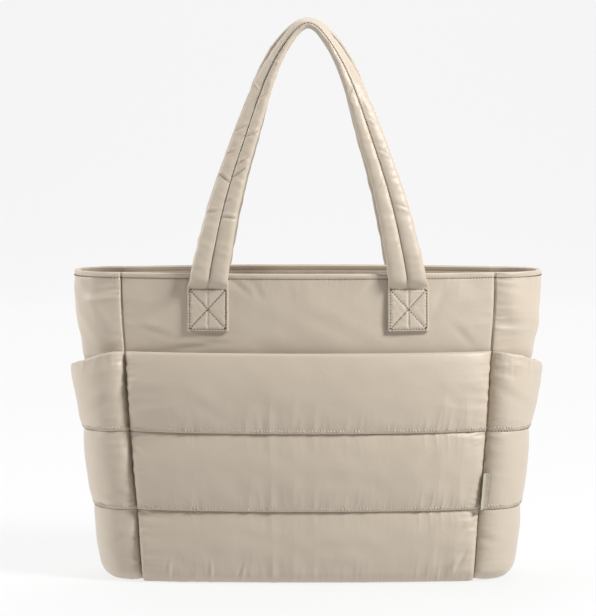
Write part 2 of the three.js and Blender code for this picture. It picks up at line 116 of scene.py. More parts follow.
def body(along, climb):
    """A point of the body's outer face: a quarter circle round the bottom edge and then straight up, on the
    outline of its height. climb is the length of cloth from the edge of the base."""
    along, climb = np.broadcast_arrays(along, climb)
    angle = np.minimum(climb / BASE_RADIUS, QUARTER_TURN)
    height = BASE_RADIUS * (1 - np.cos(angle)) + np.maximum(climb - CORNER_LENGTH, 0)
    here = outline(along, height)
    ahead, behind = outline(along + LOOP_STEP, height), outline(along - LOOP_STEP, height)
    tangent = unit(unit(ahead - here) + unit(here - behind))
    inset = (BASE_RADIUS * (1 - np.sin(angle)))[..., None]
    normal = np.stack([tangent[..., 1], -tangent[..., 0]], axis=-1)
    return np.concatenate([here - normal * inset, height[..., None]], axis=-1)


def body_normal(along, climb):
    """The outward direction of the body: the mean direction along it, crossed with the direction up it."""
    reach = 0.5
    here = body(along, climb)
    tangent = unit(body(along + LOOP_STEP, climb) - here) + unit(here - body(along - LOOP_STEP, climb))
    upward = body(along, climb + reach) - body(along, np.maximum(climb - reach, 0))
    return unit(np.cross(tangent, upward))


def off_body(along, climb, distance, lowest=0.0):
    """Points that stand a distance off the body's face, kept off the floor."""
    points = body(along, climb) + body_normal(along, climb) * np.asarray(distance)[..., None]
    points[..., 2] = np.maximum(points[..., 2], lowest)
    return points


def climb_to(height):
    return height - BASE_RADIUS + CORNER_LENGTH


def ripple(across, up, length, seed, lean=0.0, spread=np.pi):
    """Smooth random waves, about -1 to 1: the sum of 14 cosines whose wavelengths lie within a third of
    length, in millimetres, and whose directions lie within spread of lean, an angle from the across
    direction."""
    rng = np.random.default_rng(seed)
    total = 0
    for _ in range(14):
        turn = lean + rng.uniform(-spread, spread)
        wave = 2 * np.pi / (length * rng.uniform(0.72, 1.38))
        total = total + np.cos(wave * (across * np.cos(turn) + up * np.sin(turn)) + rng.uniform(0, 2 * np.pi))
    return total / 4.5


# Wrinkles that leave a row of stitches, in bands: wavelength, how far the band reaches, and its depth, in mm
PUCKER_BANDS = ((3.8, 2.6, 0.22), (6.5, 5.5, 0.42), (12.0, 11.0, 0.62), (23.0, 24.0, 0.8))


def puckers(along, away, seed, strength=1.0):
    """Puckers beside a seam: fine at the thread, and fewer and deeper further off. Each band is a set of
    sharp ridges between wide hollows. It starts from nothing at the seam and dies away as exp(-away / reach).
    along and away are in millimetres."""
    total = 0
    for number, (length, reach, depth) in enumerate(PUCKER_BANDS):
        band = 0.75 - 1.7 * np.abs(ripple(along, away, 1.8 * length, seed + number, spread=0.3))
        total = total + 2.4 * depth * band * np.exp(-away / reach) * (1 - np.exp(-away / (0.35 * reach)))
    patches = np.clip(0.6 + 0.6 * ripple(along, 0, 58, seed + 30), 0.12, 1.4)
    return strength * patches * total


def creases(across, up, lines):
    """Single creases. Each line gives the middle, the angle in degrees, the length, the width and the depth;
    its section is a valley with a lower ridge beside it, and it fades towards both ends."""
    total = 0
    for middle, level, angle, length, width, depth in lines:
        way = np.radians(angle)
        ahead = (across - middle) * np.cos(way) + (up - level) * np.sin(way)
        beside = (up - level) * np.cos(way) - (across - middle) * np.sin(way)
        section = bell(beside, width) - 0.7 * bell(beside - 1.8 * width, 1.2 * width)
        total = total - depth * section * bell(ahead, length / 2)
    return total


def spaced(count, crowding):
    """Shares from 0 to 1 that lie closer together near both ends: share - crowding sin(2 pi share) / 2 pi."""
    even = np.linspace(0, 1, count)
    return even - crowding * np.sin(2 * np.pi * even) / (2 * np.pi)


def bell(distance, width):
    return np.exp(-((distance / width) ** 2))


def smooth(low, high, value):
    t = np.clip((value - low) / (high - low), 0, 1)
    return t * t * (3 - 2 * t)


def mesh_object(name, points, faces, uv, material):
    """A mesh from points in millimetres and a list of index arrays, one for each size of face. uv gives each
    point's place on its cloth, in metres."""
    mesh = bpy.data.meshes.new(name)
    sizes = np.concatenate([np.full(len(group), group.shape[1]) for group in faces])
    corners = np.concatenate([group.ravel() for group in faces]).astype(np.int32)
    mesh.vertices.add(len(points))
    mesh.vertices.foreach_set("co", (np.asarray(points, float) / 1000).ravel())
    mesh.loops.add(len(corners))
    mesh.loops.foreach_set("vertex_index", corners)
    mesh.polygons.add(len(sizes))
    mesh.polygons.foreach_set("loop_start", (np.cumsum(sizes) - sizes).astype(np.int32))
    mesh.polygons.foreach_set("use_smooth", np.ones(len(sizes), bool))
    layer = mesh.uv_layers.new(name="cloth")
    layer.data.foreach_set("uv", uv[corners].astype(np.float32).ravel())
    mesh.update(calc_edges=True)
    mesh.validate()
    mesh.materials.append(material)
    piece = bpy.data.objects.new(name, mesh)
    bpy.context.collection.objects.link(piece)
    return piece


def strip(first, second):
    """Quads between two rows of point numbers."""
    corners = [first[..., :-1], first[..., 1:], second[..., 1:], second[..., :-1]]
    return np.stack(corners, axis=-1).reshape(-1, 4)


def skins(out, into):
    """Quads of an outer and an inner face and of the edges between their first rows and their last ones."""
    return np.concatenate([
        strip(out[:-1], out[1:]), strip(into[1:], into[:-1]),
        strip(into[:1], out[:1]), strip(out[-1:], into[-1:])])


def zipped(dense, sparse, near):
    """Triangles between two edges of which one has fewer points. near is the sparse point beside each dense
    one."""
    fans = np.stack([dense[:-1], dense[1:], sparse[near[:-1]]], axis=-1)
    steps = np.flatnonzero(np.diff(near))
    gaps = np.stack([dense[steps + 1], sparse[near[steps + 1]], sparse[near[steps]]], axis=-1)
    return np.concatenate([fans, gaps])


def run_along(points, axis=0):
    """The length so far along a line of points or one axis of a grid, where each step is the grid's mean."""
    steps = np.linalg.norm(np.diff(points, axis=axis), axis=-1)
    if steps.ndim == 2:
        steps = steps.mean(axis=1 - axis)
    return np.concatenate([[0], np.cumsum(steps)])


def cloth_piece(name, outer, inner, rows, material):
    """A closed piece from the grid of its outer face and the grid of its inner face. The inner one has the
    same columns and only the outer one's numbered rows."""
    count, width = outer.shape[:2]
    out = np.arange(count * width).reshape(count, width)
    into = count * width + np.arange(len(rows) * width).reshape(len(rows), width)
    near = np.abs(np.arange(count)[:, None] - rows[None, :]).argmin(axis=1)
    left = zipped(out[:, 0], into[:, 0], near)[:, ::-1]
    right = zipped(out[:, -1], into[:, -1], near)
    across, up = run_along(outer, 1) / 1000, run_along(outer, 0) / 1000
    uv = [np.stack(np.meshgrid(across, level), axis=-1).reshape(-1, 2) for level in (up, up[rows])]
    points = np.concatenate([outer.reshape(-1, 3), inner.reshape(-1, 3)])
    return mesh_object(name, points, [skins(out, into), left, right], np.concatenate(uv), material)


def linear(hex_colour):
    """An sRGB hex colour as linear red, green, blue and alpha."""
    value = np.array([int(hex_colour[i : i + 2], 16) for i in (1, 3, 5)]) / 255
    light = np.where(value <= 0.04045, value / 12.92, ((value + 0.055) / 1.055) ** 2.4)
    return (*light.tolist(), 1.0)


def node(tree, kind, links=None, **settings):
    """Adds one node to a material. settings are its own properties, and links gives its inputs, by name or
    number: an output socket to link, or a value to set."""
    added = tree.nodes.new(kind)
    for name, value in settings.items():
        setattr(added, name, value)
    for name, value in (links or {}).items():
        if isinstance(value, bpy.types.NodeSocket):
            tree.links.new(value, added.inputs[name])
        else:
            added.inputs[name].default_value = value
    return added


def woven_cloth(name, colour, shade, roughness, thread, depth):
    """Plain-woven filament, whose dye varies softly between colour and shade. Real threads are too fine to
    show, so they are drawn thread metres apart, and depth says how strongly. Faint crinkles of 2 to 9 mm and
    broader ridges come from packing."""
    material = bpy.data.materials.new(name)
    material.use_nodes = True
    tree = material.node_tree
    tree.nodes.clear()
    place = node(tree, "ShaderNodeTexCoord")
    weave = [
        node(tree, "ShaderNodeTexWave", {"Vector": place.outputs["UV"], "Scale": 0.314 / thread},
             bands_direction=direction)
        for direction in ("X", "Y")
    ]
    threads = node(tree, "ShaderNodeMath", {0: weave[0].outputs["Fac"], 1: weave[1].outputs["Fac"]},
                   operation="MULTIPLY")
    crinkle = node(tree, "ShaderNodeTexNoise", {
        "Vector": place.outputs["Object"], "Scale": 110.0, "Detail": 3.0, "Roughness": 0.55,
        "Distortion": 0.4})
    dye = node(tree, "ShaderNodeTexNoise", {"Vector": place.outputs["Object"], "Scale": 9.0, "Detail": 2.0})
    ridges = node(tree, "ShaderNodeTexNoise", {
        "Vector": place.outputs["Object"], "Scale": 26.0, "Detail": 4.0, "Roughness": 0.5, "Distortion": 0.6},
        noise_type="RIDGED_MULTIFRACTAL", normalize=True)
    tone = node(tree, "ShaderNodeMix", {"Factor": dye.outputs["Fac"], 6: linear(shade), 7: linear(colour)},
                data_type="RGBA")
    normal = {}
    for height, strength, distance in (
        (ridges.outputs["Fac"], 0.35, 0.0012), (crinkle.outputs["Fac"], 0.4, 0.0006),
        (threads.outputs["Value"], depth, 0.0001),
    ):
        bump = node(tree, "ShaderNodeBump", {
            "Height": height, "Strength": strength, "Distance": distance, **normal})
        normal = {"Normal": bump.outputs["Normal"]}
    shader = node(tree, "ShaderNodeBsdfPrincipled", {
        "Base Color": tone.outputs[2], "Roughness": roughness, "IOR": 1.53, "Sheen Weight": 0.18,
        "Sheen Roughness": 0.4, **normal})
    node(tree, "ShaderNodeOutputMaterial", {"Surface": shader.outputs["BSDF"]})
    return material


# Satin nylon taffeta: filament yarn, calendered, so it has a broad soft shine and hardly any visible weave
satin_nylon = woven_cloth("calendered_nylon_taffeta", "#CABDAB", "#C3B5A4", 0.46, 0.0009, 0.12)


def wall_rows(visible_from, coarse, fine):
    """Climbs up a wall: coarse steps to a height, then fine ones, and finer still round the hem."""
    low = np.arange(0, climb_to(visible_from), coarse)
    middle = np.arange(climb_to(visible_from), climb_to(BAG_HEIGHT - 8), fine)
    hem = np.linspace(climb_to(BAG_HEIGHT - 8), climb_to(BAG_HEIGHT), 18)
    return np.concatenate([low, middle, hem])


def rolled(depth, radius):
    """How far a face draws back as it rolls over an edge: a quarter circle, radius - sqrt(radius^2 - (radius
    - depth)^2), where depth is the distance below the edge."""
    return radius - np.sqrt(np.maximum(radius**2 - np.maximum(radius - depth, 0) ** 2, 0))


def seam_to_seam(start, columns, level, crowding):
    """The length of cloth across a panel, measured at a level, shares of it, and their places along the
    loop."""
    middle, seam = (body(np.array(start + part), climb_to(level)) for part in (0.5, 0))
    length = 2 * np.linalg.norm(middle - seam)
    trim = SEAM_TRIM / length
    shares = spaced(columns, crowding)[None, :]
    return length, shares, start + trim + (1 - 2 * trim) * shares


def some_rows(count, kept):
    """The numbers of a few evenly spaced rows, the first and last among them."""
    return np.linspace(0, count - 1, kept).round().astype(int)


hem_lines = []  # the cloth along the row of stitches round the rim, and its normals


def wall(name, start, columns, climbs, relief):
    """A wall of the bag from seam to seam. relief gives the height of its outer face off the body, from the
    length across, the height and the distance to the nearer seam, all in millimetres."""
    length, shares, along = seam_to_seam(start, columns, 250, 0.35)
    climb = climbs[:, None]
    height = np.where(climb < CORNER_LENGTH, 0, climb - CORNER_LENGTH + BASE_RADIUS)
    across = length * shares
    depth = BAG_HEIGHT - height
    to_seam = np.minimum(across, length - across)
    drawn_back = rolled(depth, WALL / 2)
    lift = relief(*np.broadcast_arrays(across, height, to_seam)) * smooth(0, 2.5, depth) - drawn_back
    outer = off_body(along, climb, lift)
    rows = some_rows(len(climbs), INNER_ROWS)
    inner = off_body(along, climb[rows], drawn_back[rows] - WALL - 0.02)
    hem_row = np.abs(climbs - climb_to(BAG_HEIGHT - HEM)).argmin()
    hem_lines.append((outer[hem_row], body_normal(along[0], climb[hem_row])))
    return cloth_piece(name, outer, inner, rows, satin_nylon)


def hem_relief(across, height, seed):
    """The turned hem: a soft roll above its stitches, a groove along them, and puckers to both sides."""
    depth = BAG_HEIGHT - height
    roll = 0.3 * bell(depth - 2.4, 1.9) - 0.3 * bell(depth - HEM, 0.9)
    below = np.maximum(depth - HEM, 0)
    above = np.maximum(HEM - depth, 0)
    return roll + puckers(across, below, seed, 0.26) * (depth > HEM) + puckers(across, above, seed, 0.14)


def seam_relief(height, to_seam, seed, strength):
    """A pressed-open seam: the cloth dives 2 mm into it, nearly all within a millimetre of the thread, with
    puckers across it."""
    return -1.7 * bell(to_seam, 0.8) - 0.3 * bell(to_seam, 3.0) + puckers(height, to_seam, seed, strength)


# Creases of the panel above the pocket: x, height, angle, length, width, depth
PANEL_CREASES = (
    (-66, 284, -38, 26, 3.0, 0.6), (-48, 279, -60, 22, 3.5, 0.5), (-110, 226, 6, 46, 3.0, 0.8),
    (-92, 231, -4, 34, 2.6, 0.5), (60, 284, 42, 24, 3.2, 0.5), (126, 270, 64, 30, 4.5, 0.6),
    (-140, 262, 30, 40, 5.0, 0.6), (20, 246, -24, 60, 7.0, 0.6), (150, 236, -40, 34, 4.0, 0.5),
    (-150, 240, -16, 30, 3.4, 0.6), (-128, 277, 55, 22, 3.0, 0.5),
)


def front_relief(across, height, to_seam):
    soft = 0.6 * ripple(across, height, 88, 11) + 0.22 * ripple(across, height, 31, 12)
    soft = soft + creases(across - across.max() / 2, height, PANEL_CREASES)
    soft = soft * smooth(0, 25, to_seam)
    return soft + hem_relief(across, height, 13) + seam_relief(height, to_seam, 17, 0.55)


front_panel = wall("front_panel_cloth", FRONT, 340, wall_rows(206, 9, 1.2), front_relief)
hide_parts("front_panel")
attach(front_panel, "root")


# End panels. The same cloth, soft and unstiffened, so each end rounds out at the rim and draws in towards the
# base. The slack cloth falls in soft slanting folds.

def end_relief(seed):
    def relief(across, height, to_seam):
        soft = 0.9 * ripple(across, height, 60, seed, lean=0.9, spread=0.4)
        fine = 0.3 * ripple(across, height, 21, seed + 1, lean=0.9, spread=0.5)
        folds = (soft + fine) * smooth(0, 18, to_seam)
        return folds + hem_relief(across, height, seed + 2) + seam_relief(height, to_seam, seed + 6, 1.15)
    return relief


for name, start, seed in (("side_panel_right", RIGHT, 31), ("side_panel_left", LEFT, 43)):
    end_panel = wall(name + "_cloth", start, 170, wall_rows(190, 9, 1.3), end_relief(seed))
    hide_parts(name)
    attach(end_panel, "root")


# Back panel. Quilted in three channels from the base to the pockets' height, each stuffed with loose wadding
# and closed by a row of stitches, and plain above them like the front.

UPPER_QUILT = 145
LOWER_QUILT = 70
BACK_PUFF = 6


def channel(marks, place):
    """Which of the three channels between four marks a place is in, and its share of that channel."""
    number = np.clip(np.searchsorted(marks, place, side="right") - 1, 0, 2)
    low, high = np.take(marks, number), np.take(marks, number + 1)
    return number, np.clip((place - low) / (high - low), 0, 1)


def fullness(share):
    """How full a channel is from one row of stitches to the next: sin(pi share)^0.55."""
    return np.sin(np.pi * share) ** 0.55


def held_at_seams(to_seam, length, roundness=9):
    """How full padding is across a piece: sqrt(1 - position^roundness), where position is 0 in the middle and
    1 at both seams."""
    position = np.clip(1 - 2 * to_seam / length, 0, 1)
    return np.sqrt(1 - position**roundness)


def back_relief(across, height, to_seam):
    share = channel((0, LOWER_QUILT, UPPER_QUILT, MOUTH), height)[1]
    puff = BACK_PUFF * fullness(share) * held_at_seams(to_seam, 2 * to_seam.max()) * (height < MOUTH)
    to_stitches = np.min([np.abs(height - mark) for mark in (LOWER_QUILT, UPPER_QUILT, MOUTH)], axis=0)
    soft = 0.5 * ripple(across, height, 80, 61) * smooth(0, 25, to_seam)
    stitched = puckers(across, to_stitches, 62, 0.9) - 0.4 * bell(to_stitches, 1.0)
    quilting = puff + stitched * smooth(0, 6, to_seam)
    return quilting + soft + hem_relief(across, height, 67) + seam_relief(height, to_seam, 71, 0.6)


back_panel = wall("back_panel_cloth", BACK, 240, wall_rows(12, 3, 1.9), back_relief)
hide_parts("back_panel")
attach(back_panel, "root")


# Facing. A band of the same cloth turned in round the inside of the rim and stitched near its top and bottom.
# It is a little long for the rim, so it buckles.

FACING_HEIGHT = 36
FACING_WALL = 1.5
FACING_ROW = 32  # rim to its lower row of stitches
facing_share = np.linspace(0, 4, 620, endpoint=False)[None, :]
facing_rim = 2 * (4 * PANEL_HALF + np.pi * 42)  # 1.7 times the rim's length, which makes finer buckles
facing_depth = np.concatenate([np.linspace(FACING_HEIGHT, 9, 18), np.linspace(8, 0.6, 12)])[:, None]
facing_height = BAG_HEIGHT - facing_depth
facing_lift = 0.55 * ripple(facing_share / 4 * facing_rim, facing_height, 17, 81, spread=0.5)
facing_lift = facing_lift * smooth(4, 14, facing_depth)
facing_lift = facing_lift - 0.4 * bell(facing_depth - HEM, 0.9) - 0.4 * bell(facing_depth - FACING_ROW, 0.9)
facing_lift = np.clip(facing_lift, -0.5, 1.1)
facing_faces = np.stack([
    off_body(facing_share, climb_to(facing_height), distance)
    for distance in (-(WALL + SEAM_GAP), -(WALL + SEAM_GAP + FACING_WALL) - facing_lift)
])


def ring_numbers(count, width):
    """The numbers of a grid of points whose rows are closed rings: each row's first number also ends it."""
    numbers = np.arange(count * width).reshape(count, width)
    return np.hstack([numbers, numbers[:, :1]])


facing_numbers = ring_numbers(*facing_faces.shape[1:3])
facing_across = np.linspace(0, facing_rim, facing_share.size)
facing_place = np.stack(np.meshgrid(facing_across, facing_height), axis=-1).reshape(-1, 2) / 1000
facing = mesh_object("mouth_facing_cloth", facing_faces.reshape(-1, 3),
                     [skins(facing_numbers, facing_numbers + len(facing_place))],
                     np.tile(facing_place, (2, 1)), satin_nylon)
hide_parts("mouth_facing")
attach(facing, "root")


# Base. A flat panel of the same cloth over a stiffener, sewn inside the lower edge of the walls.

BASE_THICKNESS = 4
BASE_MIDDLE = 120  # distance from the middle where a ring is drawn in by its whole inset


def capped_tube(name, rings, uv):
    """A closed piece of satin nylon from rings of points along it. A fan to the middle of its ring closes
    each end. uv gives the places of the rings' points and then of the two middles."""
    count, width = rings.shape[:2]
    numbers = ring_numbers(count, width)
    middles = rings[[0, -1]].mean(axis=1)
    low, high = np.full(width, count * width), np.full(width, count * width + 1)
    fans = np.concatenate([
        np.stack([numbers[0, 1:], numbers[0, :-1], low], axis=-1),
        np.stack([numbers[-1, :-1], numbers[-1, 1:], high], axis=-1),
    ])
    points = np.concatenate([rings.reshape(-1, 3), middles])
    return mesh_object(name, points, [strip(numbers[:-1], numbers[1:]), fans], uv, satin_nylon)


base_edge = body(np.linspace(0, 4, 240, endpoint=False), 0)[:, :2]
base_rings = np.array([
    np.column_stack([base_edge * (1 - inset / BASE_MIDDLE), np.full(len(base_edge), height)])
    for inset, height in (
        (2.2, 0.0), (1.0, 0.25), (0.4, 1.0),
        (0.4, BASE_THICKNESS - 1.0), (1.0, BASE_THICKNESS - 0.25), (2.2, BASE_THICKNESS),
    )
])
base_uv = np.vstack([base_rings.reshape(-1, 3)[:, :2], np.zeros((2, 2))]) / 1000
base = capped_tube("base_cloth", base_rings, base_uv)
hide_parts("base_panel")
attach(base, "root")


# Front pocket. Two layers of satin nylon with wadding between them, stitched across into three channels, and
# sewn to the front panel down both sides and along the base. Stitching takes up more length than the cloth
# beside it, so the cloth puckers along each row and lies slack between them.

EDGE_ANGLE = np.radians(38)  # how far up the bottom corner a pocket's lower edge is sewn on
EDGE_CLIMB = BASE_RADIUS * EDGE_ANGLE
QUILT_CLIMBS = (EDGE_CLIMB, climb_to(LOWER_QUILT), climb_to(UPPER_QUILT), climb_to(MOUTH))
FLOOR_GAP = 0.4  # between the pockets and the floor
FRONT_SPACE = 9  # room inside
FRONT_PADDING = 11  # thickness of the quilted front
PRESSED = 0.36  # padding left under a row of stitches, as a share
LIP = 4.5  # thickness of the top edge
MOUTH_CLOSING = 0.12  # share of the room that the mouth loses
SAG = 0.92  # wadding slips down, so a channel is fullest below its middle
SETTLE_ROUNDS = 160
FINE, COARSE = 0.9, 2.1  # steps up the cloth at the stitches and between them
INSIDE_ROWS = 26  # rows of a pocket's plain inner face


def pocket_space(space, across_share, up):
    """Room inside a pocket: only a gap at the seams, full above the middle and a little less at the mouth."""
    rise = np.sin(QUARTER_TURN * np.minimum(up / 0.85, 1)) ** 1.3
    closing = 1 - MOUTH_CLOSING * smooth(0.8, 1, up)
    return SEAM_GAP + space * rise * closing * (1 - np.abs(2 * across_share - 1) ** 8)


def tug(points, free, first, second, rest, stiffness, push_only):
    """Moves the two ends of each thread along it, towards its rest length or only out to it."""
    span = points[second] - points[first]
    length = np.sqrt((span**2).sum(axis=-1))
    stretch = 1 - rest / np.maximum(length, 1e-6)
    if push_only:
        stretch = np.minimum(stretch, 0)
    share = (stiffness * stretch / np.maximum(free[first] + free[second], 1e-6))[..., None]
    points[first] += span * share * free[first][..., None]
    points[second] -= span * share * free[second][..., None]


def pairs(size, gap):
    """Slices that pair each row or column with the one gap further on, in two sets that share no end."""
    starts = np.arange(size - gap)
    even = starts[(starts // gap) % 2 == 0]
    odd = starts[(starts // gap) % 2 == 1]
    return [(chosen, chosen + gap) for chosen in (even, odd) if len(chosen)]


def settle(shape, slack_across, slack_up, free, pull):
    """Lets a sheet of cloth find its folds. shape is the padding's surface. Its threads are longer than that
    by a slack share, so they buckle; threads along, across and aslant are tugged to length, stiffness keeps
    folds from getting sharp, and the padding pulls the cloth towards shape. free is 0 where the cloth is
    stitched down."""
    cloth = shape.astype(np.float64).copy()
    threads = []

    def add_thread(first, second, slack, stiffness, push_only):
        rest = np.linalg.norm(shape[second] - shape[first], axis=-1) * (1 + slack)
        threads.append((first, second, rest, stiffness, push_only))

    for gap, stiffness, push_only in ((1, 0.9, False), (2, 0.35, True), (4, 0.2, True)):
        for axis, slack in ((1, slack_across), (0, slack_up)):
            size = shape.shape[axis]
            for a, b in pairs(size, gap):
                first = (slice(None), a) if axis else (a, slice(None))
                second = (slice(None), b) if axis else (b, slice(None))
                add_thread(first, second, (1 if gap == 1 else 0.35) * slack[first], stiffness, push_only)
    left, right = slice(None, -1), slice(1, None)
    for side, other in ((left, right), (right, left)):
        for a, b in pairs(shape.shape[0], 1):
            add_thread((a, side), (b, other), slack_up[a, side] + slack_across[a, side], 0.25, False)
    for _ in range(SETTLE_ROUNDS):
        for thread in threads:
            tug(cloth, free, *thread)
        cloth += (shape - cloth) * pull[..., None]
    return cloth


def quilted_climbs():
    """Climbs up a quilted pocket, close together at each row of stitches and wider apart between them."""
    climbs = [EDGE_CLIMB]
    for low, high in zip(QUILT_CLIMBS[:-1], QUILT_CLIMBS[1:]):
        count = int(round((high - low) / (0.5 * (FINE + COARSE))))
        climbs.extend(low + (high - low) * spaced(count + 1, (COARSE - FINE) / (COARSE + FINE))[1:])
    return np.array(climbs)


def quilted_pocket(name, start, columns, space, padding, mouth_height, seed, grooves, lining,
                  edge_roundness, lines, gathers):
    """A quilted pocket from seam to seam. Its outer face stands off the panel by the room inside, and by the
    padding, which is full in each channel and pressed flat at the stitches and seams. mouth_height gives the
    height of its top edge from the share across, grooves how far the padding starts from the left and right
    seams at the mouth, lining how far it swells inwards there, edge_roundness how squarely it fills out
    beside the two seams, lines its creases, and gathers the depth of its elastic's pleats."""
    climbs = quilted_climbs()
    length, shares, along = seam_to_seam(start, columns, 100, 0.45)
    upper, mouth = QUILT_CLIMBS[2:]
    base_climb = climbs[:, None]
    stretch = (climb_to(mouth_height(shares)) - upper) / (mouth - upper)
    climb = np.minimum(base_climb, upper) + np.maximum(base_climb - upper, 0) * stretch
    number, share = channel(QUILT_CLIMBS, base_climb)
    across = length * shares + 0 * climb
    to_seam = np.minimum(across, length - across)
    left_half = across < length / 2
    open_groove = 0.18 + 0.82 * smooth(LOWER_QUILT, MOUTH - 50, base_climb)
    open_groove = open_groove * (1 + 0.45 * ripple(base_climb, 0, 11, seed + 21))
    starts = np.where(left_half, *grooves) * open_groove
    off_seam = np.maximum(to_seam - starts, 0)
    held = held_at_seams(off_seam, length - 2 * starts, np.where(left_half, *edge_roundness))
    room = pocket_space(space, shares, (number + share) / 3)
    swell = np.sin(np.pi * share**SAG) ** (0.44 + 0.2 * smooth(0.3, 0.7, share))
    last = number == 2
    stitched = PRESSED * padding
    edge = np.where(last & (share > 0.5), stitched + np.maximum(LIP - stitched, 0) * held, stitched)
    lip_share = smooth(0.86, 1.0, share) * last
    pad = edge * (0.4 + 0.6 * held) + (padding - edge) * swell * held
    to_stitches = np.min([np.abs(base_climb - mark) for mark in QUILT_CLIMBS[:3]], axis=0) + 0 * across
    above = share < 0.5
    buckle = puckers(across, to_stitches, seed) * np.where(above, 0.4, 0.22)
    buckle = buckle + puckers(base_climb, off_seam, seed + 5, 0.6)
    below_mouth = mouth - base_climb
    pleats = ripple(across, 0.2 * below_mouth, 8.5, seed + 31)
    pleats = pleats + 0.6 * ripple(across, 0.2 * below_mouth, 4.5, seed + 32)
    buckle = buckle + gathers * pleats * np.exp(-below_mouth / 9)
    buckle = buckle + creases(across - length / 2, base_climb + BASE_RADIUS - CORNER_LENGTH, lines)
    soft = 0.5 * ripple(across, base_climb, 75, seed + 9) + 0.2 * ripple(across, base_climb, 28, seed + 10)
    lift = room + pad + (buckle + soft * swell * held) * (1 - 0.4 * lip_share)
    roll = rolled(np.maximum(below_mouth, 0), edge / 2) * last
    target = off_body(along, climb, lift - roll, FLOOR_GAP)
    free = np.ones(across.shape)
    free[to_stitches < 0.35] = 0
    free[0] = 0
    free[:, [0, -1]] = 0
    free[-3:] = 0
    near = np.exp(-to_stitches / 7)
    patches = np.clip(0.5 + 0.6 * ripple(across, 0, 60, seed + 40), 0.05, 1.3)
    slack_across = 0.002 + 0.02 * near * np.where(above, 1, 0.35) * patches
    slack_up = 0.003 + 0.02 * np.exp(-to_seam / 9)
    pull = 0.012 + 0.10 * np.exp(-to_stitches / 1.5) + 0.06 * lip_share
    outer = settle(target, slack_across, slack_up, free, pull)
    outer[..., 2] = np.maximum(outer[..., 2], FLOOR_GAP)
    rows = some_rows(len(climbs), INSIDE_ROWS)
    inner_lift = (room * (1 - lining * lip_share) + roll)[rows]
    inner = off_body(along, climb[rows], inner_lift, FLOOR_GAP * 0.9)
    return cloth_piece(name, outer, inner, rows, satin_nylon), outer, climbs


# Creases of the front pocket: x, height, angle, length, width, depth
POCKET_CREASES = (
    (-138, 12, 78, 18, 2.0, -0.8), (-96, 12, 86, 16, 1.8, -0.7), (-65, 11, 70, 14, 1.8, -0.6),
    (160, 55, 42, 20, 2.2, 1.1), (135, 13, 20, 30, 3.0, 0.9), (150, 20, 62, 22, 2.4, 0.9),
    (164, 142, 8, 18, 1.8, 0.9), (162, 67, -12, 18, 1.8, 0.9), (-164, 128, -46, 16, 2.2, 1.0),
    (-160, 141, 14, 16, 1.8, 0.8), (-160, 68, -20, 16, 1.8, 0.8), (-90, 167, -36, 44, 5.0, 0.25),
    (-30, 166, -30, 50, 6.0, 0.2), (70, 195, 12, 60, 7.0, 0.4), (30, 100, -8, 70, 8.0, 0.4),
    (-110, 105, 20, 50, 7.0, 0.4), (100, 40, 25, 50, 6.0, 0.6), (20, 34, 12, 46, 6.0, 0.6),
    (-60, 48, -14, 44, 6.0, 0.4), (130, 175, -40, 36, 5.0, 0.4), (110, 120, 34, 30, 4.0, 0.3),
)
front_pocket, front_pocket_face, front_pocket_climbs = quilted_pocket(
    "front_pocket_cloth", FRONT, 430, FRONT_SPACE, FRONT_PADDING, lambda share: MOUTH + 0 * share, 101,
    (1.0, 0.8), 0.25, (80, 44), POCKET_CREASES, 0.0)
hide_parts("front_pocket")
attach(front_pocket, "root")


# End pockets. Made like the front pocket but from one wider piece, with elastic let into the top edge, which
# gathers it into a shallow sagging wave.

SIDE_PADDING = 5.5
MOUTH_DIP = 17  # how far the edge sags
END_LENGTH = 150  # of cloth across an end


def gathered_mouth(seed, from_front):
    """The height of an end pocket's edge across it: it sags most a little behind its middle, in small waves.
    from_front is 1 where the share runs from the front seam to the back one, and -1 where it runs back."""
    def height(share):
        hang = np.sin(np.pi * (share if from_front > 0 else 1 - share) ** 1.45)
        across = END_LENGTH * share
        waves = 1.3 * ripple(across, 0, 26, seed) + 0.6 * ripple(across, 0, 11, seed + 1)
        return MOUTH - MOUTH_DIP * hang + waves * np.sqrt(hang.clip(0))
    return height


# Creases of an end pocket: distance from its middle, height, angle, length, width, depth
SIDE_CREASES = (
    (-74, 203, -30, 26, 3.4, 0.7), (74, 203, 30, 26, 3.4, 0.7), (-50, 182, -30, 36, 5.0, 0.8),
    (52, 176, 34, 36, 5.0, 0.8), (-66, 118, 16, 30, 4.0, 0.7), (64, 112, -22, 30, 4.0, 0.7),
    (0, 168, 80, 40, 6.0, 0.6), (-56, 40, -20, 30, 4.0, 0.7), (58, 44, 24, 30, 4.0, 0.7),
)
side_faces = {}
for name, start, space, seed, grooves, from_front in (
    ("side_pocket_right", RIGHT, 7.5, 141, (0.8, 0.8), 1),
    ("side_pocket_left", LEFT, 10.5, 167, (0.8, 0.6), -1),
):
    side_pocket, side_faces[name], side_climbs = quilted_pocket(
        name + "_cloth", start, 190, space, SIDE_PADDING, gathered_mouth(seed, from_front), seed, grooves,
        0.8, (22, 30), SIDE_CREASES, 0.7)
    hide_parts(name)
    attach(side_pocket, "root")


# Handles. A padded strap with a row of stitches down its middle, which makes two soft lobes. Its ends are
# pressed flat and sewn to the panel with a box and a cross. Held up, the strap folds back along its stitches.

